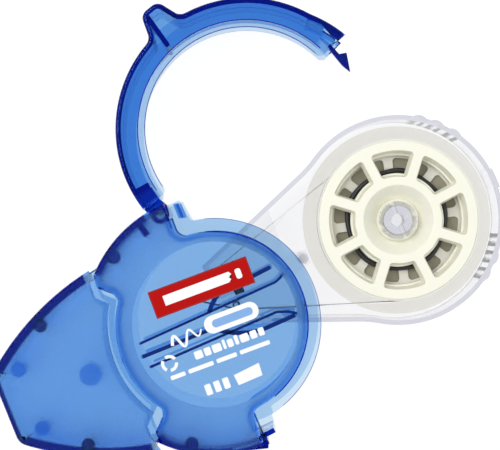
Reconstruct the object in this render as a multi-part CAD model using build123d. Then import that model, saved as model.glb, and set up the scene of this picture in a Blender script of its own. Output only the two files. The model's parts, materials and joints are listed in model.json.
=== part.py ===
from build123d import *
from math import acos, asin, cos, degrees, radians, sin, tan
import os

# Refillable correction tape roller, millimetres. It lies on its rear face.
# Origin: centre of the housing's reel chamber, on the rear face. +Z points out of the label side,
# +X runs along the housing away from the nose. The door is open and the refill is half way out.

os.makedirs("parts", exist_ok=True)

# ---- driving dimensions ----
THICKNESS = 18.0
MID_Z = THICKNESS / 2
PLATE = 1.2                    # wall thickness of the housing
FLANGE_Z = 1.4                 # outer side of the sunk flange, under the door's and the cap's lips
FLANGE_TOP = 2.0
RIM_TOP = 2.6                  # inner end of the low rims along the faces
HOUSING_R = 30.7               # outside of the round housing
WALL_R = HOUSING_R - PLATE     # inside of its side wall
EDGE_ROUND = 1.1

FACE_R_DOOR = 21.9             # edge of the raised face, towards the door
FACE_R_CAP = 23.4              # the same, towards the cap
FLANGE_R_DOOR = 24.9
FLANGE_R_CAP = 26.4
LABEL_R = 19.4
LABEL_DEPTH = 0.3

HINGE = (-2.3, 28.5)
KNUCKLE_R = 2.1
HINGE_PIN_R = 0.9
HINGE_BORE_R = 0.95
KNUCKLE_Z = 4.4                # lower end of the knuckle, the upper end mirrors it
DOOR = (24.0, 39.65)           # centre of the open door's arcs
DOOR_START = 21.7              # far end of the door, in degrees about DOOR
DOOR_END = 196.3               # end at the hinge
LIP_R = 23.7                   # the thin lip in front reaches in to here, the door's face to LIP_STEP_R
LIP_STEP_R = 25.4
REAR_STEP_R = 27.2             # at the rear the thin lip ends at LIP_STEP_R and the face here
LIP_TOP = 0.6
DOOR_BAND_TOP = 1.9            # the door's face is thicker outside the step
FLARE_FROM = 39.0              # the rim flares from here to the door's far end
FLARE_IN = 1.7
FLARE_OUT = 1.2
TAB_ANGLE = 107.0              # middle of the thumb tab
TAB_R = 36.4
LATCH_TOP = 2.7

CAP_LIP_R = 25.1               # rear edge of the cap, an arc about the origin
CAP_END_X = -52.95

PIN_R = 1.1
PIN_BOSS_R = 1.6
BODY_PINS = [(-16.0, 23.4), (-15.4, -23.8)]
CAP_PINS = [(-38.0, 15.0), (-38.0, -15.0)]

REFILL = (49.2, 6.5)           # reel centre of the half drawn refill
CASE_R = 24.8
CASE_WALL = 1.1
CASE_FLOOR_Z = 3.0
CASE_FLOOR_TOP = 3.9
CASE_RIM_Z = 14.2
BUMP_R = 2.6                   # grip bumps on the tray's rim
BUMP_HEIGHT = 0.5
NOSE_ANGLE = 21.4              # half angle of the tray's wedge
NOSE_APEX = 65.5               # reel centre to the wedge's apex
NOSE_END = 47.0                # reel centre to the cut end of the wedge
TIP_END = 51.0
POST_R = 3.4
REEL_BORE_R = 3.46
PACK_R = 17.8                  # radius of the wound supply tape
TAPE = 0.15
DRUM_R = 18.8                  # take-up reel, inside its tape
USED_R = 19.1                  # outside of the tape wound on it
SUPPLY_TAPE_Z = 4.3            # lower edge of the tape on the supply reel
TAKE_UP_TAPE_Z = 10.4          # lower edge of the used tape on the take-up reel
ROLLER = (-43.0, 4.3)          # guide sleeve beside the blade, the other one mirrors it
ROLLER_R = 0.9
TAPE_WIDTH = 4.2


# ---- helpers ----
def polar(radius, angle, centre=(0, 0)):
    """Point at an angle in degrees about a centre."""
    return (centre[0] + radius * cos(radians(angle)), centre[1] + radius * sin(radians(angle)))


def slab(face, low, high):
    """Flat face extruded between two heights."""
    return extrude(Pos(0, 0, low) * face, amount=high - low)


def disc(radius, low, high, centre=(0, 0)):
    return slab(Pos(*centre) * Circle(radius), low, high)


def ring(r_in, r_out, low, high, centre=(0, 0)):
    return disc(r_out, low, high, centre) - disc(r_in, low, high, centre)


def outline(*points):
    """Straight-edged face that faces up, whichever way round its points run."""
    turn = sum(a[0] * b[1] - b[0] * a[1] for a, b in zip(points, points[1:] + points[:1]))
    return Polygon(*(points if turn > 0 else points[::-1]), align=None)


def both_sides(*points):
    """The points as they are, and then mirrored about the X axis in reverse order."""
    return [*points, *[(x, -y) for x, y in reversed(points)]]


def sector(r_in, r_out, start, end, centre=(0, 0)):
    """Face between two radii and two angles."""
    outer = CenterArc(centre, r_out, start, end - start)
    inner = CenterArc(centre, r_in, start, end - start)
    return make_face([outer, inner, Line(outer @ 0, inner @ 0), Line(outer @ 1, inner @ 1)])


def bar(start, end, width):
    """Straight strip with round ends between two points."""
    path = Line(start, end)
    body = trace(path, line_width=width)
    return body + Pos(*start) * Circle(width / 2) + Pos(*end) * Circle(width / 2)


def flipped(shape):
    """The same shape on the label side: mirrored about the middle plane."""
    return mirror(shape, about=Plane.XY.offset(MID_Z))


def rounded_at_base(solid, radius):
    """Round the edges that lie on the outer face, z = 0."""
    return fillet(solid.edges().filter_by_position(Axis.Z, -0.01, 0.01), radius)


# ---- housing shells ----
def raised_face():
    """Outline of the raised face: full circle by the walls, cut back for the door and for the cap."""
    door_side = outline((-0.5, 32), (-0.8, 20), (-0.8, 0), (0.2, 0), (0.2, -32), (40, -32), (40, 32))
    shoulder = both_sides((-40, 23), (-21.9, 23), (-22.5, 18.2), (-19.4, 15.4), (-18.6, 12.6))
    cap_side = outline(*shoulder)
    cap_disc = Circle(FACE_R_CAP) & outline((-12, 25), (-12, -25), (-40, -25), (-40, 25))
    face = (Circle(HOUSING_R) - door_side - cap_side) + Circle(FACE_R_DOOR) + cap_disc
    inner_corners = face.vertices().sort_by_distance((0, 22, 0))[:1]
    inner_corners += face.vertices().sort_by_distance((0, -22, 0))[:1]
    face = fillet(inner_corners, 2.5)
    return fillet(face.vertices().sort_by(Axis.X)[:8], 1.0)


def sunk_flange():
    """Outline of the flange that lies under the lips of the door and of the cap."""
    hinge_ear = outline((-1.2, 23), (-1.2, 29.9), (3.1, 30.1), (3.65, 25.6), (4.3, 23.5))
    latch_ear = outline((-0.3, -23), (4.5, -23.8), (4.3, -26.6), (-0.3, -26.6))
    shoulders = outline(*both_sides((-17, 20.4), (-23.4, 20.4), (-24.2, 18.5), (-24.2, 15.5), (-21, 11)))
    cap_ring = Circle(FLANGE_R_CAP) & outline((-5, 18), (-5, -18), (-40, -18), (-40, 18))
    return Circle(FLANGE_R_DOOR) + hinge_ear + latch_ear + shoulders + cap_ring


def guide_ribs():
    """Low ribs on the inside of the face, beside the refill's nose."""
    ribs = bar((-18.0, 2.4), (16.8, 3.9), 0.5) + bar((16.8, 3.9), (19.0, 5.0), 0.5)
    ribs += bar((-17.8, -3.6), (14.4, -2.7), 0.5) + bar((14.4, -2.7), (18.6, -4.6), 0.5)
    ribs += bar((-0.2, 3.2), (3.5, 6.4), 0.9) + bar((3.5, 6.4), (17.0, 7.6), 0.9)
    ribs += bar((0.6, -1.9), (9.6, -5.3), 0.9) + bar((9.6, -5.3), (18.2, -5.0), 0.9)
    ribs += bar((-18.6, -0.7), (-2.2, -0.7), 0.8)
    return ribs


def shell_half():
    """Rear half of the housing, from the rear face up to the middle plane."""
    face = raised_face()
    half = slab(face, 0, RIM_TOP)
    half = rounded_at_base(half, EDGE_ROUND)
    half += slab(sunk_flange(), FLANGE_Z, FLANGE_TOP)
    half -= slab(offset(face, -1.5), PLATE, RIM_TOP)
    for start, end in ((101.5, 135.3), (-138.5, -87.4)):
        wall = sector(WALL_R, HOUSING_R, start, end)
        half += slab(wall, EDGE_ROUND, MID_Z)
    # flared end of the wall beside the latch, a grip for the thumb
    half += slab(outline((-3.5, -30.3), (0.75, -31.5), (1.25, -30.4), (0.6, -29.6), (-3.5, -29.6)), 0.6, MID_Z)
    half += slab(sector(28.05, 29.25, -89.0, -82.8), 3.0, MID_Z)
    half += slab(sector(28.05, 29.8, -92.0, -88.6), 3.0, MID_Z)
    half -= slab(sector(26.75, 29.75, -104.0, -78.0), PLATE, 3.0)
    half += slab(guide_ribs(), PLATE, LATCH_TOP)
    half += slab(outline((1.4, 26.2), (2.7, 26.0), (2.7, 29.6), (1.4, 29.8)), FLANGE_TOP, 4.1)
    half += slab(Pos(-7.3, 26.9) * Rot(0, 0, 14) * Rectangle(1.6, 3.6), PLATE, MID_Z)
    half += disc(KNUCKLE_R, PLATE, KNUCKLE_Z - 0.2, HINGE)
    half -= disc(HINGE_BORE_R, PLATE, MID_Z, HINGE)
    for centre in BODY_PINS:
        half += disc(PIN_BOSS_R, PLATE, MID_Z, centre)
        half -= disc(PIN_R + 0.02, PLATE, MID_Z, centre)
    half -= disc(LABEL_R, 0, LABEL_DEPTH)
    return half


def snap_pins(centres):
    """Round pins that join two halves, one solid each."""
    return Compound([disc(PIN_R, PLATE + 0.1, THICKNESS - PLATE - 0.1, centre) for centre in centres])


def label_film():
    return disc(LABEL_R - 0.1, 0, LABEL_DEPTH - 0.02)


# ---- nose cap ----
def cap_region(inset=0.0):
    """Whole plan of the cap, closed on the right by a straight line inside the housing."""
    top = ThreePointArc((-16.0, 23.6), (-36.0, 18.9), (CAP_END_X, 8.6))
    end = Line((CAP_END_X, 8.6), (CAP_END_X, -8.6))
    low = mirror(top, Plane.XZ)
    back = Line((-16.0, 23.6), (-16.0, -23.6))
    region = make_face([top, end, low, back])
    region = fillet(region.vertices().sort_by(Axis.X)[:2], 3.5)
    return offset(region, -inset) if inset else region


def cap_cut():
    """What the rear edge of the cap leaves free, seen from the label side."""
    block = outline(*both_sides((0, 25), (-22.1, 25), (-23.7, 19.0), (-23.6, 16.2), (-21.0, 13.75)))
    block = fillet(block.vertices().sort_by(Axis.X)[:4], 0.9)
    return block + Circle(CAP_LIP_R)


def cap_half():
    half = rounded_at_base(slab(cap_region(), 0, RIM_TOP), EDGE_ROUND)
    half -= slab(cap_cut(), 0, RIM_TOP)
    half -= slab(cap_region(PLATE), PLATE, RIM_TOP)
    behind = outline((-24.4, 30), (0, 30), (0, -30), (-24.4, -30))
    half -= slab(behind, PLATE, RIM_TOP)
    half += slab(cap_region() - cap_region(PLATE) - behind, EDGE_ROUND, MID_Z)
    for x, y in CAP_PINS:
        half += disc(PIN_BOSS_R, PLATE, MID_Z, (x, y))
        half -= disc(PIN_R + 0.02, PLATE, MID_Z, (x, y))
    for y in (7.4, -7.4):
        half += disc(1.8, PLATE, LATCH_TOP, (-46.6, y))
    half += disc(2.6, PLATE, LATCH_TOP - 0.3, (-31.4, 0))
    return half


# ---- refill door ----
def door_plan():
    """Full disc of the door with its thumb tab, whose sides run into the rim in hollows."""
    foot = 8.6
    top = 3.9
    tab = outline(polar(28.0, TAB_ANGLE - foot, DOOR), polar(30.6, TAB_ANGLE - foot, DOOR),
                  polar(TAB_R, TAB_ANGLE - top, DOOR), polar(TAB_R, TAB_ANGLE + top, DOOR),
                  polar(30.6, TAB_ANGLE + foot, DOOR), polar(28.0, TAB_ANGLE + foot, DOOR))
    tips = tab.vertices().sort_by_distance((*polar(TAB_R, TAB_ANGLE, DOOR), 0))[:2]
    plan = Pos(*DOOR) * Circle(HOUSING_R) + fillet(tips, 2.3)
    roots = plan.vertices().sort_by_distance((*polar(28.0, TAB_ANGLE, DOOR), 0))[:2]
    return fillet(roots, 2.5)


def door_rim(r_in, r_out, start):
    """Flared far end of the rim: the radii grow towards the end of the door."""
    span = FLARE_FROM - DOOR_START
    grown = []
    for angle in (FLARE_FROM, (FLARE_FROM + start) / 2, start):
        share = (FLARE_FROM - angle) / span
        grown.append((r_in + FLARE_IN * share, r_out + FLARE_OUT * share, angle))
    outer = ThreePointArc(*[polar(out, a, DOOR) for _, out, a in grown])
    inner = ThreePointArc(*[polar(low, a, DOOR) for low, _, a in grown])
    return make_face([outer, inner, Line(outer @ 0, inner @ 0), Line(outer @ 1, inner @ 1)])


def hinge_arm():
    """Arm from the door's end to the knuckle round the hinge pin."""
    arm = outline((-0.2, 28.5), (-0.2, 30.3), polar(26.3, 196.3, DOOR), polar(26.3, 188.0, DOOR),
                  polar(30.7, 188.0, DOOR), polar(30.7, 196.3, DOOR), (-4.4, 28.5))
    return arm + Pos(*HINGE) * Circle(KNUCKLE_R)


def latch_hook():
    """Thin latch with a barb on its outer side, past the far end of the door."""
    shaft = sector(27.0, 27.85, 11.0, 29.0, DOOR)
    barb = outline(polar(27.0, 11.5, DOOR), polar(27.75, 7.2, DOOR), polar(29.4, 15.4, DOOR),
                   polar(27.8, 17.0, DOOR), polar(27.0, 17.0, DOOR))
    return shaft + barb


def door_half(lip_r, step_r, with_latch):
    """One half of the door, modelled at the rear. Its face ends at step_r, its thin lip at lip_r."""
    flare = door_rim(29.0, HOUSING_R, DOOR_START)
    plan = door_plan()
    lip = sector(lip_r, step_r + 1.0, DOOR_START, DOOR_END, DOOR)
    ends = lip.vertices().sort_by_distance((*DOOR, 0))[:2]
    face = (sector(step_r, TAB_R + 2, DOOR_START, DOOR_END, DOOR) & plan) + flare
    band = sector(step_r, HOUSING_R, 29.0, 188.4, DOOR) + flare
    half = rounded_at_base(slab(face, 0, PLATE) + slab(band, PLATE, DOOR_BAND_TOP), 0.8)
    half = half + slab(fillet(ends, 1.5), 0, LIP_TOP)
    half = half + slab(flare, DOOR_BAND_TOP, LATCH_TOP)
    rim = plan - offset(plan, -PLATE)
    wall = (rim & sector(25.0, TAB_R + 2, FLARE_FROM - 0.1, 189.0, DOOR)) + door_rim(WALL_R, HOUSING_R, 31.0)
    wall += bar(polar(27.2, 111.3, DOOR), polar(35.0, 109.6, DOOR), 1.2)
    wall += sector(26.3, HOUSING_R, 186.4, 189.2, DOOR)
    half = half + slab(wall, PLATE, MID_Z) + slab(hinge_arm(), KNUCKLE_Z, MID_Z)
    if with_latch:
        half = half + slab(latch_hook(), PLATE, LATCH_TOP)
    return half - disc(HINGE_BORE_R, 0, MID_Z, HINGE)


# ---- refill cartridge, built about its own reel centre ----
def at_refill(shape):
    return Pos(*REFILL) * shape


def wedge_half_width(x):
    """Half width of the tray's wedge at a place along its axis, the nose at negative x."""
    return (NOSE_APEX + x) * tan(radians(NOSE_ANGLE))


def tray_plan(inset=0.0):
    near = -10.0
    wedge = outline((near, wedge_half_width(near)), (-NOSE_END, wedge_half_width(-NOSE_END)),
                    (-NOSE_END, -wedge_half_width(-NOSE_END)), (near, -wedge_half_width(near)))
    plan = Circle(CASE_R) + wedge
    hollows = plan.vertices().sort_by(Axis.X)[2:4]
    plan = fillet(hollows, 25.0)
    return offset(plan, -inset) if inset else plan


def refill_tray():
    tray = slab(tray_plan(), CASE_FLOOR_Z, CASE_RIM_Z)
    tray -= slab(tray_plan(CASE_WALL), CASE_FLOOR_TOP, CASE_RIM_Z)
    bore = disc(CASE_R - CASE_WALL, CASE_FLOOR_TOP, CASE_RIM_Z)
    for angle in (56, 46, 35, -33.5, -43.5, -54):
        tray += disc(BUMP_R, CASE_FLOOR_Z, CASE_RIM_Z, polar(CASE_R + BUMP_HEIGHT - BUMP_R, angle)) - bore
    tray += slab(sector(CASE_R - 0.4, CASE_R + 0.4, -4, 7), CASE_FLOOR_Z, CASE_RIM_Z)
    # slot in the nose for the blade and the tape
    tray -= slab(Pos(-NOSE_END, 0) * Rectangle(4, 9.2), 5.6, CASE_RIM_Z)
    # stiffening rib beside the reel, lug post for the cover, axles of the tape rollers
    tray += slab(outline((-24.6, 10.6), (-23.4, 11.6), (-33.0, 6.9), (-33.4, 6.2)), CASE_FLOOR_TOP, 5.6)
    tray += disc(1.4, CASE_FLOOR_TOP, 13.3, (-24.3, 0))
    for centre in both_sides(ROLLER):
        tray += disc(0.5, CASE_FLOOR_TOP, 12.6, centre)
    tray += disc(POST_R, CASE_FLOOR_TOP, 13.4)
    tray += disc(4.5, 13.4, 14.6) - slab(Rectangle(1.1, 12) + Rectangle(12, 1.1), 13.2, 14.7)
    tray -= disc(1.6, 8, 14.7)
    return tray


def nose_cover():
    """Clear plate over the wedge, with a lug towards the reels."""
    plan = tray_plan(CASE_WALL + 0.1) & outline((-27.6, 20), (-27.6, -20), (-45.6, -20), (-45.6, 20))
    plan += outline((-28.5, 3), (-22.9, 1.7), (-22.9, -1.7), (-28.5, -3))
    cover = slab(plan, 13.4, CASE_RIM_Z)
    return cover - disc(0.75, 13, 15, (-24.3, 0))


def cover_rivet():
    return disc(0.7, 13.35, CASE_RIM_Z, (-24.3, 0)) + disc(1.0, CASE_RIM_Z, 14.6, (-24.3, 0))


def applicator_tip():
    """Foot and thin blade; the tape runs round the blade's edge."""
    blade = outline((-40.5, 1.6), (-45.6, 1.6), (-TIP_END + 0.2, 0.3), (-TIP_END + 0.2, -0.3),
                    (-45.6, -1.6), (-40.5, -1.6))
    tip = slab(blade, 6.2, 11.8) + slab(Pos(-41.3, 0) * Rectangle(2.4, 5.0), CASE_FLOOR_TOP, 5.4)
    tip += slab(Pos(-41.3, 0) * Rectangle(2.4, 3.2), 5.4, 6.2)
    return tip


def guide_sleeves():
    return Compound([ring(0.56, ROLLER_R, 6.0, 12.0, centre) for centre in both_sides(ROLLER)])


def windows(r_in, r_out, rib, turn, corner):
    """Eight windows between two radii, with straight ribs of even width between them."""
    ribs = Rectangle(2 * r_out + 2, rib)
    field = Circle(r_out) - Circle(r_in)
    for quarter in range(4):
        field -= Rot(0, 0, turn + 45 * quarter) * ribs
    return fillet(field.vertices(), corner)


def supply_reel():
    """Core, web with eight windows, and five pegs for the clutch ring."""
    reel = ring(REEL_BORE_R, 5.0, 4.1, 9.6) + ring(9.6, 10.7, 4.1, 8.8)
    reel += ring(4.9, 18.8, 8.7, 9.3) - slab(windows(11.6, 14.9, 2.2, -14, 0.9), 8.6, 9.4)
    reel += ring(4.9, 10.6, 4.1, 4.8)
    for lobe in range(5):
        reel += disc(0.45, 9.2, 10.6, polar(10.75, 68 + 72 * lobe))
    return reel


def supply_tape():
    return ring(10.76, PACK_R, SUPPLY_TAPE_Z, SUPPLY_TAPE_Z + TAPE_WIDTH)


def clutch_ring():
    """Rubber ring stretched into five lobes over the pegs of the supply reel."""
    points = []
    for lobe in range(5):
        points.append(polar(11.9, 68 + 72 * lobe))
        points.append(polar(11.5, 104 + 72 * lobe))
    path = Spline(*points, periodic=True)
    profile = Plane(origin=path @ 0, z_dir=path % 0) * Circle(0.6)
    return Pos(0, 0, 9.95) * sweep(profile, path=path)


def take_up_reel():
    """Drum with a broad front ring, eight spokes and a hub whose face falls back in a cone."""
    reel = disc(DRUM_R, 11.6, 15.0) + ring(15.4, DRUM_R, 10.1, 11.6)
    openings = Pos(0, 0, 15.0) * windows(10.2, 16.4, 2.2, 6, 0.8)
    for opening in openings.faces():
        reel -= extrude(opening, amount=-3.6, taper=9)
    reel += disc(8.6, 11.0, 11.6) + ring(8.4, 11.1, 10.8, 11.8)
    reel -= Pos(0, 0, 13.2) * Cone(4.9, 8.4, 3.8) + disc(4.9, 10, 15)
    rims = reel.edges().filter_by(GeomType.CIRCLE).filter_by_position(Axis.Z, 14.99, 15.01)
    reel = fillet([edge for edge in rims if edge.radius > DRUM_R - 0.01 or 8.0 < edge.radius < 8.5], 0.35)
    return reel + ring(REEL_BORE_R, 4.95, 10.4, 12.9)


def take_up_flange():
    return ring(15.8, 22.4, 9.5, 10.0)


def take_up_tape():
    return ring(DRUM_R + 0.02, USED_R, TAKE_UP_TAPE_Z, TAKE_UP_TAPE_Z + TAPE_WIDTH)


def tape_stations(side, radius, low):
    """Places along one tape run: leaving the reel, clear of the flange, at the roller, at the blade."""
    roller = (ROLLER[0], side * (ROLLER[1] + ROLLER_R + 0.5))
    reach = (roller[0] ** 2 + roller[1] ** 2) ** 0.5
    bearing = 180 - side * degrees(asin(abs(roller[1]) / reach))
    leave = polar(radius, bearing - side * degrees(acos(radius / reach)))
    straight = (reach ** 2 - radius ** 2) ** 0.5
    share = 11.5 / straight
    clear = tuple(a + (b - a) * share for a, b in zip(leave, roller))
    middle = MID_Z - TAPE_WIDTH / 2
    edge = (-TIP_END + 0.3, side * 0.55)
    return [(leave, low), (clear, low), (roller, middle), (edge, middle)]


def tape_run(side, radius, low):
    """Strips of tape on edge between the stations, each sheared to reach the next one's height."""
    stations = tape_stations(side, radius, low)
    strips = []
    for (start, start_z), (end, end_z) in zip(stations, stations[1:]):
        run = Vector(end[0] - start[0], end[1] - start[1], end_z - start_z)
        level = Vector(run.X, run.Y, 0).normalized()
        section = Plane(origin=(*start, start_z), x_dir=(0, 0, 1), z_dir=level) * Pos(TAPE_WIDTH / 2, 0)
        strips.append(extrude(section * Rectangle(TAPE_WIDTH, TAPE), amount=run.length, dir=run.normalized()))
    return Compound([strip.solid() for strip in strips])


# ---- build and export ----
def main():
    shell = shell_half()
    cap = cap_half()
    hinge_pin = disc(HINGE_PIN_R, PLATE + 0.1, THICKNESS - PLATE - 0.1, HINGE)
    nodes = {
        "rear_shell": shell,
        "front_shell": flipped(shell),
        "shell_pins": snap_pins(BODY_PINS),
        "hinge_pin": hinge_pin,
        "front_label": flipped(label_film()),
        "door_rear": door_half(LIP_STEP_R, REAR_STEP_R, with_latch=False),
        "door_front": flipped(door_half(LIP_R, LIP_STEP_R, with_latch=True)),
        "cap_rear": cap,
        "cap_front": flipped(cap),
        "cap_pins": snap_pins(CAP_PINS),
        "refill_tray": at_refill(refill_tray()),
        "nose_cover": at_refill(nose_cover()),
        "cover_rivet": at_refill(cover_rivet()),
        "applicator_tip": at_refill(applicator_tip()),
        "guide_sleeves": at_refill(guide_sleeves()),
        "supply_reel": at_refill(supply_reel()),
        "supply_tape": at_refill(supply_tape()),
        "clutch_ring": at_refill(clutch_ring()),
        "take_up_reel": at_refill(take_up_reel()),
        "take_up_flange": at_refill(take_up_flange()),
        "take_up_tape": at_refill(take_up_tape()),
        "tape_run_out": at_refill(tape_run(1, PACK_R + TAPE, SUPPLY_TAPE_Z)),
        "tape_run_back": at_refill(tape_run(-1, USED_R + TAPE, TAKE_UP_TAPE_Z)),
    }
    for name, shape in nodes.items():
        export_step(shape, f"parts/{name}.step")


main()
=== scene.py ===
import json
import math

import bmesh
import bpy
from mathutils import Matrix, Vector


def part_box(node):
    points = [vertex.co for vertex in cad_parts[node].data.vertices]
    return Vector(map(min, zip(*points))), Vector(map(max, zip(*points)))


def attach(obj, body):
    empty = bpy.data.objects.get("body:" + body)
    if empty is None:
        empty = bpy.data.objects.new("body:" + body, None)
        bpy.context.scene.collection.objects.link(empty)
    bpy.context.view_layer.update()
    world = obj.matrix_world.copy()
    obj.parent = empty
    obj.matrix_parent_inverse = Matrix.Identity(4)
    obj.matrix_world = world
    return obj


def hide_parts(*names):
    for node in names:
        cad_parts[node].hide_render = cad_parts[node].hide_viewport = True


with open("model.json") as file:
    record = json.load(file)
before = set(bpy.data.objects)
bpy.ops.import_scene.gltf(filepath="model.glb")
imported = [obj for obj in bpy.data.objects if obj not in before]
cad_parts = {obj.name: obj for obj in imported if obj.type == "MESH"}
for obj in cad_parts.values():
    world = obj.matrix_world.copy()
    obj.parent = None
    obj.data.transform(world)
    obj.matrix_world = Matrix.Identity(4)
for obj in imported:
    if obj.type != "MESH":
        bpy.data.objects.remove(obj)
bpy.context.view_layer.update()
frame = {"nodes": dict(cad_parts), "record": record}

MM = 0.001
RECORD = frame["record"]
TOP_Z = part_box("front_shell")[1][2]
DOOR_CENTRE = (24.0, 39.65)    # of the open door's arcs, in millimetres
TILT = math.radians(22.0)      # the roller's long axis rises by this much to the right


# ---- materials ----
PLASTIC_IOR = 1.45
BLUE_DEPTH = (0.01, 0.5, 0.9)  # the colour that the light takes on inside the blue plastic
BLUE_DENSITY = 800             # how fast it does so, per metre
BLUE_TINT = (0.97, 0.97, 0.98)
BLUE_GLOSS = (0.15, 0.4, 1.0)  # the colour of its reflections
POLISHED_ROUGH = 0.015
POLISHED_RELIEF = 0.000001     # depths of relief, in metres
INK_RELIEF = 0.000002
MOULDED_RELIEF = 0.000006
NOISE_REACH = (0.3, 0.7)       # noise mostly stays between these
FROST_MARK = "frost"           # mesh attribute: 1 on frosted faces


def new_material(name):
    """Material with a Principled shader; returns the material, its nodes, its links and the shader."""
    material = bpy.data.materials.new(name)
    material.use_nodes = True
    nodes = material.node_tree.nodes
    return material, nodes, material.node_tree.links, nodes["Principled BSDF"]


def grain(nodes, links, scale, detail=2.0):
    """Fine noise in the object's own coordinates."""
    place = nodes.new("ShaderNodeTexCoord")
    noise = nodes.new("ShaderNodeTexNoise")
    noise.inputs["Scale"].default_value = scale
    noise.inputs["Detail"].default_value = detail
    links.new(place.outputs["Object"], noise.inputs["Vector"])
    return noise.outputs["Fac"]


def spread(nodes, links, value, low, high):
    """Map a noise value to a range."""
    node = nodes.new("ShaderNodeMapRange")
    node.inputs["From Min"].default_value = NOISE_REACH[0]
    node.inputs["From Max"].default_value = NOISE_REACH[1]
    node.inputs["To Min"].default_value = low
    node.inputs["To Max"].default_value = high
    links.new(value, node.inputs["Value"])
    return node.outputs["Result"]


def bump(nodes, links, shader, height, distance):
    """Relief of a height value, with its depth in metres."""
    node = nodes.new("ShaderNodeBump")
    node.inputs["Distance"].default_value = distance
    node.inputs["Strength"].default_value = 1.0
    links.new(height, node.inputs["Height"])
    links.new(node.outputs["Normal"], shader.inputs["Normal"])


def marked(nodes, name):
    """Value of a mesh attribute that moulded_half writes."""
    node = nodes.new("ShaderNodeAttribute")
    node.attribute_name = name
    return node.outputs["Fac"]


def between(nodes, links, mask, low, high):
    """From the number low to high, by a mask. High is a number or another node's output."""
    node = nodes.new("ShaderNodeMapRange")
    node.inputs["To Min"].default_value = low
    if isinstance(high, float):
        node.inputs["To Max"].default_value = high
    else:
        links.new(high, node.inputs["To Max"])
    links.new(mask, node.inputs["Value"])
    return node.outputs["Result"]


def depth_colour(nodes, links, absorb, density):
    """Colour that deepens with the way light goes through the plastic."""
    volume = nodes.new("ShaderNodeVolumeAbsorption")
    volume.inputs["Color"].default_value = (*absorb, 1)
    volume.inputs["Density"].default_value = density
    links.new(volume.outputs["Volume"], nodes["Material Output"].inputs["Volume"])


def clear_plastic(name, tint, absorb, density, rough, ior=PLASTIC_IOR):
    """Polished clear plastic with a faint moulding texture."""
    material, nodes, links, shader = new_material(name)
    shader.inputs["Base Color"].default_value = (*tint, 1)
    shader.inputs["Transmission Weight"].default_value = 1.0
    shader.inputs["IOR"].default_value = ior
    fine = grain(nodes, links, 900.0)
    links.new(spread(nodes, links, fine, rough * 0.6, rough * 1.4), shader.inputs["Roughness"])
    bump(nodes, links, shader, fine, POLISHED_RELIEF)
    depth_colour(nodes, links, absorb, density)
    return material


def blue_plastic(name, frost_rough, frost_height, frost_clear):
    """Translucent blue: frosted where it is marked so, polished elsewhere."""
    material, nodes, links, shader = new_material(name)
    shader.inputs["IOR"].default_value = PLASTIC_IOR
    shader.inputs["Base Color"].default_value = (*BLUE_TINT, 1)
    shader.inputs["Specular Tint"].default_value = (*BLUE_GLOSS, 1)
    fine = grain(nodes, links, 2600.0)
    mask = marked(nodes, FROST_MARK)
    grainy = spread(nodes, links, fine, frost_rough * 0.7, frost_rough * 1.3)
    links.new(between(nodes, links, mask, POLISHED_ROUGH, grainy), shader.inputs["Roughness"])
    links.new(between(nodes, links, mask, 1.0, frost_clear), shader.inputs["Transmission Weight"])
    relief = nodes.new("ShaderNodeMath")
    relief.operation = "MULTIPLY"
    links.new(fine, relief.inputs[0])
    links.new(mask, relief.inputs[1])
    bump(nodes, links, shader, relief.outputs["Value"], frost_height)
    depth_colour(nodes, links, BLUE_DEPTH, BLUE_DENSITY)
    return material


def solid_plastic(name, light, dark, rough, height=MOULDED_RELIEF, glow=0.0, gloss=0.5):
    """Opaque moulded plastic or ink with slight tone variation and a fine skin."""
    material, nodes, links, shader = new_material(name)
    tone = nodes.new("ShaderNodeMixRGB")
    tone.inputs["Color1"].default_value = (*light, 1)
    tone.inputs["Color2"].default_value = (*dark, 1)
    links.new(grain(nodes, links, 120.0, 3.0), tone.inputs["Fac"])
    links.new(tone.outputs["Color"], shader.inputs["Base Color"])
    fine = grain(nodes, links, 1200.0, 3.0)
    links.new(spread(nodes, links, fine, rough[0], rough[1]), shader.inputs["Roughness"])
    shader.inputs["Specular IOR Level"].default_value = gloss
    if glow:
        shader.inputs["Subsurface Weight"].default_value = glow
        shader.inputs["Subsurface Radius"].default_value = (0.0015, 0.0012, 0.0008)
        shader.inputs["Subsurface Scale"].default_value = 1.0
    bump(nodes, links, shader, fine, height)
    return material


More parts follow.
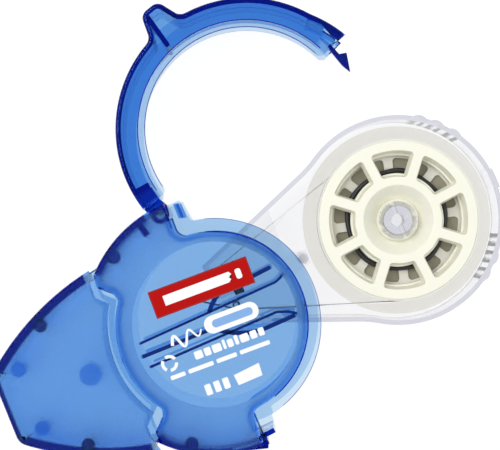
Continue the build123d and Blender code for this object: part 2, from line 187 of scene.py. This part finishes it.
def make_materials():
    """All materials by a short name."""
    return {
        "shell": blue_plastic("shell_blue", frost_rough=0.72, frost_height=0.00006, frost_clear=0.995),
        "door": blue_plastic("door_blue", frost_rough=0.08, frost_height=0.000004, frost_clear=1.0),
        "pin": clear_plastic("pin_blue", BLUE_TINT, BLUE_DEPTH, BLUE_DENSITY, rough=0.05),
        "tray": clear_plastic("tray_clear", (0.98, 0.98, 0.985), (0.66, 0.66, 0.75), 90, rough=0.02),
        "flange": clear_plastic("flange_grey", (0.94, 0.93, 0.89), (0.6, 0.58, 0.5), 500, rough=0.12,
                                ior=1.2),
        "cream": solid_plastic("reel_cream", (0.93, 0.92, 0.8), (0.9, 0.89, 0.76), (0.34, 0.46), glow=0.12),
        "supply": solid_plastic("supply_cream", (0.93, 0.92, 0.84), (0.9, 0.88, 0.8), (0.36, 0.5)),
        "white": solid_plastic("moulded_white", (0.93, 0.93, 0.91), (0.88, 0.88, 0.86), (0.28, 0.4)),
        "red": solid_plastic("print_red", (0.48, 0.003, 0.002), (0.44, 0.002, 0.001), (0.6, 0.7),
                             height=INK_RELIEF, gloss=0.1),
        "ink": solid_plastic("print_white", (0.95, 0.95, 0.95), (0.92, 0.93, 0.94), (0.25, 0.35),
                             height=INK_RELIEF),
        "red_edge": solid_plastic("print_dark_red", (0.3, 0.008, 0.008), (0.26, 0.006, 0.006), (0.25, 0.35)),
        "blue_ink": solid_plastic("print_blue", (0.25, 0.45, 0.8), (0.2, 0.4, 0.75), (0.25, 0.35)),
        "rib": solid_plastic("rib_blue", (0.002, 0.06, 0.45), (0.001, 0.03, 0.3), (0.08, 0.15),
                             height=POLISHED_RELIEF),
        # deep blue of thick plastic for the latch skin; the edge strips also use it as painted shade along
        # the moulded steps
        "deep": solid_plastic("deep_blue", (0.0, 0.01, 0.4), (0.0, 0.005, 0.3), (0.5, 0.6),
                              height=INK_RELIEF, gloss=0.1),
        "rubber": solid_plastic("ring_rubber", (0.018, 0.018, 0.02), (0.03, 0.03, 0.032), (0.35, 0.5)),
        "steel": solid_plastic("pin_steel", (0.6, 0.6, 0.62), (0.5, 0.5, 0.52), (0.2, 0.3)),
        "tape": solid_plastic("tape_white", (0.93, 0.93, 0.92), (0.9, 0.9, 0.88), (0.5, 0.6)),
        # painted shade: the wound tape is white, but its colour is darkened to olive-grey for the shadow it
        # lies in under the take-up reel
        "wound": solid_plastic("tape_wound_painted_shade", (0.42, 0.4, 0.3), (0.36, 0.34, 0.25), (0.5, 0.6)),
        "carrier": solid_plastic("carrier_paper", (0.86, 0.85, 0.78), (0.8, 0.79, 0.72), (0.3, 0.45)),
    }


LOOKS = {                      # short name of the material, by CAD node
    "rear_shell": "shell", "front_shell": "shell", "shell_pins": "pin", "hinge_pin": "steel",
    "door_rear": "door", "door_front": "door", "cap_rear": "shell", "cap_front": "shell", "cap_pins": "pin",
    "refill_tray": "tray", "nose_cover": "tray", "cover_rivet": "steel", "applicator_tip": "tray",
    "guide_sleeves": "white", "supply_reel": "supply", "supply_tape": "wound", "clutch_ring": "rubber",
    "take_up_reel": "cream", "take_up_flange": "flange", "take_up_tape": "carrier",
    "tape_run_out": "tape", "tape_run_back": "tape",
}


def dress_nodes(materials):
    """Give every CAD node but the label, which the print replaces, its material."""
    for node, look in LOOKS.items():
        thing = frame["nodes"][node]
        for place in thing.material_slots:
            place.material = materials[look]


# ---- moulded halves ----
# all in millimetres
PARTING_GAP = 0.015            # each half ends this far from the middle plane, so light crosses it
WALL_EXTRA = 1.0               # the side walls look this much deeper through the frosted plastic
WALL_MATCH = 0.03              # a point this near a wall's radius belongs to the wall
PLANE_MATCH = 0.001            # a point this near the middle plane lies on it
SKIN = 0.2                     # a face this near the top or bottom is an outer one
INNER_WALLS = {                # centre and radius of the walls' inner sides, by body
    "housing": [(0.0, 0.0, 29.5)],
    "cap": [(-11.4760, -40.5541, 63.1134), (-11.4760, 40.5541, 63.1134)],
    "door": [],
}


def deepen_walls(mesh, body):
    """Move the inner sides of the curved walls inwards."""
    for vert in mesh.vertices:
        for x, y, radius in INNER_WALLS[body]:
            arm = Vector((vert.co.x / MM - x, vert.co.y / MM - y))
            if abs(arm.length - radius) < WALL_MATCH and vert.co.y * y <= 0:
                arm *= (radius - WALL_EXTRA) / radius
                vert.co.x, vert.co.y = (x + arm.x) * MM, (y + arm.y) * MM
                break


def moulded_half(node, materials):
    """Copy of a moulded half with deeper walls and marked frosted faces, clear of the other half."""
    mesh = frame["nodes"][node].data.copy()
    mesh.name = node + "_moulded"
    body = body_of(node)
    middle = TOP_Z / 2
    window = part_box("front_label")[1][0] + 0.05 * MM     # the recess for the label is polished
    side = 1 if "front" in node else -1
    for vert in mesh.vertices:
        if abs(vert.co.z - middle) < PLANE_MATCH * MM:
            vert.co.z += side * PARTING_GAP * MM
    deepen_walls(mesh, body)
    frost = mesh.attributes.new(FROST_MARK, "FLOAT", "FACE")
    for k, face in enumerate(mesh.polygons):
        spot = face.center
        outer = face.normal.z * side > 0.9 and abs(spot.z - middle) > middle - SKIN * MM
        polished = body == "housing" and math.hypot(spot.x, spot.y) < window
        frost.data[k].value = 1.0 if outer and not polished else 0.0
    mesh.materials.clear()
    mesh.materials.append(materials[LOOKS[node]])
    piece = bpy.data.objects.new(node + "_moulded", mesh)
    bpy.context.scene.collection.objects.link(piece)
    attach(piece, body)
    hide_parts(node)


def body_of(node):
    """Body that the node belongs to."""
    return next(body for body, nodes in RECORD["behaviour"]["bodies"].items() if node in nodes)


# ---- printed label, inner ribs and edges ----
PRINT_TILT = math.radians(-1.6)


def prism(shape, points, low, high, material_index):
    """Add a flat-topped solid over an outline to a bmesh."""
    bottom = [shape.verts.new((x * MM, y * MM, low)) for x, y in points]
    top = [shape.verts.new((x * MM, y * MM, high)) for x, y in points]
    faces = [shape.faces.new(top), shape.faces.new(bottom[::-1])]
    for k in range(len(points)):
        after = (k + 1) % len(points)
        faces.append(shape.faces.new((bottom[k], bottom[after], top[after], top[k])))
    for face in faces:
        face.material_index = material_index


def finished_piece(shape, name, materials, body):
    """Turn a bmesh into an object that rides on a body."""
    bmesh.ops.recalc_face_normals(shape, faces=shape.faces)
    mesh = bpy.data.meshes.new(name)
    shape.to_mesh(mesh)
    shape.free()
    for material in materials:
        mesh.materials.append(material)
    piece = bpy.data.objects.new(name, mesh)
    bpy.context.scene.collection.objects.link(piece)
    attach(piece, body)
    return piece


def rounded_box(left, low, right, high, radius, steps=6):
    """Outline of a rectangle with round corners, counterclockwise."""
    points = []
    corners = ((right - radius, high - radius, 0), (left + radius, high - radius, 90),
               (left + radius, low + radius, 180), (right - radius, low + radius, 270))
    for x, y, start in corners:
        for k in range(steps + 1):
            angle = math.radians(start + 90 * k / steps)
            points.append((x + radius * math.cos(angle), y + radius * math.sin(angle)))
    return points


def arc_band(x, y, inner, outer, start, end, steps=12):
    """Outline of part of a ring."""
    angles = [math.radians(start + (end - start) * k / steps) for k in range(steps + 1)]
    rim = [(x + outer * math.cos(a), y + outer * math.sin(a)) for a in angles]
    return rim + [(x + inner * math.cos(a), y + inner * math.sin(a)) for a in reversed(angles)]


def stroke(shape, route, widths, low, high, material_index):
    """Add a solid strip along a route of points, with a width at each point."""
    rows = []
    for k, (x, y) in enumerate(route):
        ahead = route[min(k + 1, len(route) - 1)]
        behind = route[max(k - 1, 0)]
        side = Vector((behind[1] - ahead[1], ahead[0] - behind[0])).normalized() * widths[k] / 2
        corners = ((x + side.x, y + side.y, low), (x - side.x, y - side.y, low),
                   (x - side.x, y - side.y, high), (x + side.x, y + side.y, high))
        rows.append([shape.verts.new((a * MM, b * MM, c)) for a, b, c in corners])
    faces = [shape.faces.new(rows[0]), shape.faces.new(rows[-1][::-1])]
    for one, two in zip(rows, rows[1:]):
        for k in range(4):
            faces.append(shape.faces.new((one[k], one[k - 1], two[k - 1], two[k])))
    for face in faces:
        face.material_index = material_index


def wave(left, right, middle, height, turns, steps=40):
    """Handwriting-like wave that fades out."""
    route = []
    for k in range(steps + 1):
        share = k / steps
        swing = height * (1 - 0.5 * share) * math.sin(2 * math.pi * turns * share)
        route.append((left + (right - left) * share, middle + swing + 1.4 * share))
    return route


def tilted(points):
    """The print stands a little askew on the housing."""
    c, s = math.cos(PRINT_TILT), math.sin(PRINT_TILT)
    return [(x * c - y * s, x * s + y * c) for x, y in points]


def label_marks():
    """Outlines of the white marks, in millimetres about the label's centre: no letters among them."""
    # field with a torn end and a small block, inside the red bar
    torn_end = [(6.6, 8.1), (7.3, 8.7), (6.9, 9.2), (7.7, 9.8), (7.2, 10.5)]
    marks = [[(-9.2, 8.1), *torn_end, (-9.2, 10.5)]]
    marks.append(rounded_box(8.6, 8.1, 10.0, 10.5, 0.5))
    # badge
    marks.append(rounded_box(-2.5, -1.9, 10.8, 2.3, 2.0))
    # row of blocks
    block = -7.0
    for width in (2.0, 1.6, 2.2, 0.7, 1.4, 0.9, 2.1, 1.6, 1.4):
        marks.append(rounded_box(block, -6.2, block + width, -3.9 if width < 1 else -4.3, 0.34))
        block += width + 0.42
    # row of dashes
    dash = -14.0
    for width in (3.6, 6.2, 5.0, 7.4):
        marks.append(rounded_box(dash, -8.7, dash + width, -7.7, 0.25))
        dash += width + 0.8
    # slanted patch with three blocks beside it
    marks.append([(0.3, -15.2), (6.3, -14.9), (6.5, -11.9), (0.0, -12.6)])
    for place in (-7.4, -5.2, -3.0):
        marks.append(rounded_box(place, -15.0, place + 1.5, -12.4, 0.3))
    # ring of three arcs
    for start in (20, 140, 260):
        marks.append(arc_band(-13.1, -4.8, 1.25, 2.0, start, start + 88))
    return marks


def make_label_print(materials):
    """Ink on the bottom of the label's recess."""
    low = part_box("front_label")[0][2] - 0.015 * MM
    shape = bmesh.new()
    red = rounded_box(-12.2, 5.9, 12.3, 12.5, 0.15, 2)
    prism(shape, tilted(red), low, low + 0.05 * MM, 1)
    inner = rounded_box(-11.9, 6.2, 12.0, 12.2, 0.1, 2)
    prism(shape, tilted(inner), low + 0.02 * MM, low + 0.06 * MM, 0)
    for mark in label_marks():
        prism(shape, tilted(mark), low + 0.03 * MM, low + 0.08 * MM, 2)
    script = tilted(wave(-11.0, -3.4, -1.2, 2.0, 2.0))
    pen = [0.75 - 0.4 * k / len(script) for k in range(len(script))]
    stroke(shape, script, pen, low + 0.03 * MM, low + 0.08 * MM, 2)
    band = rounded_box(-0.6, -0.75, 9.4, 1.15, 0.9)
    prism(shape, tilted(band), low + 0.05 * MM, low + 0.1 * MM, 3)
    bmesh.ops.triangulate(shape, faces=shape.faces)
    inks = [materials["red"], materials["red_edge"], materials["ink"], materials["blue_ink"]]
    piece = finished_piece(shape, "front_label_print", inks, "housing")
    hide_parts("front_label")


def make_guide_ribs(materials):
    """Dark crests of the ribs on the inside of the front face, beside the refill's nose."""
    top = TOP_Z - 1.1 * MM
    low = TOP_Z - 2.76 * MM
    routes = (
        ([(-18.0, 2.4), (16.8, 3.9), (18.2, 4.4), (19.3, 5.2)], 0.6),
        ([(-17.8, -3.6), (14.4, -2.7), (17.0, -3.6), (18.8, -4.8)], 0.6),
        ([(-0.2, 3.2), (1.0, 4.6), (2.2, 5.6), (3.8, 6.4), (17.0, 7.6)], 1.0),
        ([(0.6, -1.9), (3.5, -3.6), (6.5, -4.7), (9.6, -5.3), (18.2, -5.0)], 1.0),
        ([(-18.6, -0.7), (-2.2, -0.7)], 0.9),
    )
    shape = bmesh.new()
    for route, width in routes:
        stroke(shape, route, [width] * len(route), low, top, 0)
    finished_piece(shape, "front_guide_ribs", [materials["rib"]], "housing")


def about_origin(route):
    """Points given as radius and degrees, as x and y."""
    return [(radius * math.cos(math.radians(degrees)), radius * math.sin(math.radians(degrees)))
            for radius, degrees in route]


def about_door(route):
    """Points given as radius and degrees about the open door's centre, as x and y."""
    x, y = DOOR_CENTRE
    return [(a + x, b + y) for a, b in about_origin(route)]


def make_latch_skin(materials):
    """Deep blue skin round the latch hook and core of the door's flared end, darker than the plates."""
    core = (15.4 * MM, 16.2 * MM)
    skin = (15.26 * MM, 16.78 * MM)
    shape = bmesh.new()
    flare = [(30.7, 37.0), (30.0, 31.0), (29.6, 26.0), (29.9, 22.4),
             (31.7, 22.4), (31.6, 24.0), (31.2, 30.0), (30.85, 36.0)]
    prism(shape, about_door(flare), *core, 0)
    shaft = [(26.97, 23.5), (26.97, 11.5), (27.75, 7.1), (29.44, 15.4), (27.88, 17.0), (27.88, 23.5)]
    prism(shape, about_door(shaft)[::-1], *skin, 0)
    finished_piece(shape, "latch_skin", [materials["deep"]], "door")


def arc(radius, start, end, steps=48):
    """Points along an arc, as radius and degrees."""
    return [(radius, start + (end - start) * k / steps) for k in range(steps + 1)]


def make_painted_edge_shade(materials):
    """Painted shade: thin deep blue strips laid just above the moulded steps, for the dark lines that the
    clear plastic shows along its edges.
    """
    line = 0.06 * MM
    above = 0.02 * MM
    door = bmesh.new()
    for radius, width in ((25.45, 0.22), (23.8, 0.16)):
        route = about_door(arc(radius, 25.5, 192.5))
        stroke(door, route, [width] * len(route), TOP_Z + above - line, TOP_Z + above, 0)
    finished_piece(door, "door_edge_painted_shade", [materials["deep"]], "door")
    shell = bmesh.new()
    for radius, width, depth in ((21.75, 0.3, 0.0), (24.82, 0.12, 1.4)):
        route = about_origin(arc(radius, -72.0, 74.0))
        top = TOP_Z - depth * MM + above
        stroke(shell, route, [width] * len(route), top - line, top, 0)
    finished_piece(shell, "shell_edge_painted_shade", [materials["deep"]], "housing")


# ---- stage ----
def stage_material(name, grey, glow):
    """Matt material that gives off most of its own light, so that clear plastic looks bright over it."""
    material, _, _, shader = new_material(name)
    shader.inputs["Base Color"].default_value = (grey, grey, grey, 1)
    shader.inputs["Roughness"].default_value = 0.9
    shader.inputs["Specular IOR Level"].default_value = 0.0
    shader.inputs["Emission Color"].default_value = (1, 1, 1, 1)
    shader.inputs["Emission Strength"].default_value = glow
    return material


def make_stage():
    """White floor just below the roller."""
    mesh = bpy.data.meshes.new("floor")
    half = 3.0
    below = -0.4 * MM
    corners = [(-half, -half, below), (half, -half, below), (half, half, below), (-half, half, below)]
    mesh.from_pydata(corners, [], [(0, 1, 2, 3)])
    mesh.materials.append(stage_material("floor_white", grey=0.15, glow=0.93))
    floor = bpy.data.objects.new("floor", mesh)
    bpy.context.scene.collection.objects.link(floor)


def area_light(name, place, side, power):
    """Square lamp that points at the origin."""
    data = bpy.data.lights.new(name, "AREA")
    data.shape = "SQUARE"
    data.size = side
    data.energy = power
    lamp = bpy.data.objects.new(name, data)
    lamp.location = place
    lamp.rotation_euler = (-Vector(place)).to_track_quat("-Z", "Y").to_euler()
    bpy.context.scene.collection.objects.link(lamp)


def make_lights():
    """White studio all round, with two soft lamps above."""
    world = bpy.data.worlds.new("studio")
    bpy.context.scene.world = world
    world.use_nodes = True
    background = world.node_tree.nodes["Background"]
    background.inputs["Color"].default_value = (1, 1, 1, 1)
    background.inputs["Strength"].default_value = 0.55
    area_light("key", (-0.25, 0.35, 0.7), 0.5, 3.4)
    area_light("fill", (0.5, -0.2, 0.6), 0.4, 1.2)


def make_camera():
    """Straight above the roller, turned so that its long axis rises to the right."""
    aim = (0.0163, 0.0185)
    reach = 0.32                   # from the roller's middle plane
    width = 0.120                  # what the picture spans there
    data = bpy.data.cameras.new("camera")
    data.sensor_width = 36.0
    data.lens = data.sensor_width * reach / width
    data.clip_start = 0.01
    camera = bpy.data.objects.new("camera", data)
    camera.location = (*aim, TOP_Z / 2 + reach)
    camera.rotation_euler = (0, 0, -TILT)
    bpy.context.scene.collection.objects.link(camera)
    bpy.context.scene.camera = camera


def main():
    """Dress the loaded frame and add the pieces, the stage, the lamps and the camera."""
    bpy.context.scene.view_settings.view_transform = "Standard"
    make_camera()
    make_stage()
    make_lights()
    materials = make_materials()
    dress_nodes(materials)
    for node in ("front_shell", "rear_shell", "cap_front", "cap_rear", "door_front", "door_rear"):
        moulded_half(node, materials)
    make_label_print(materials)
    make_guide_ribs(materials)
    make_latch_skin(materials)
    make_painted_edge_shade(materials)


main()
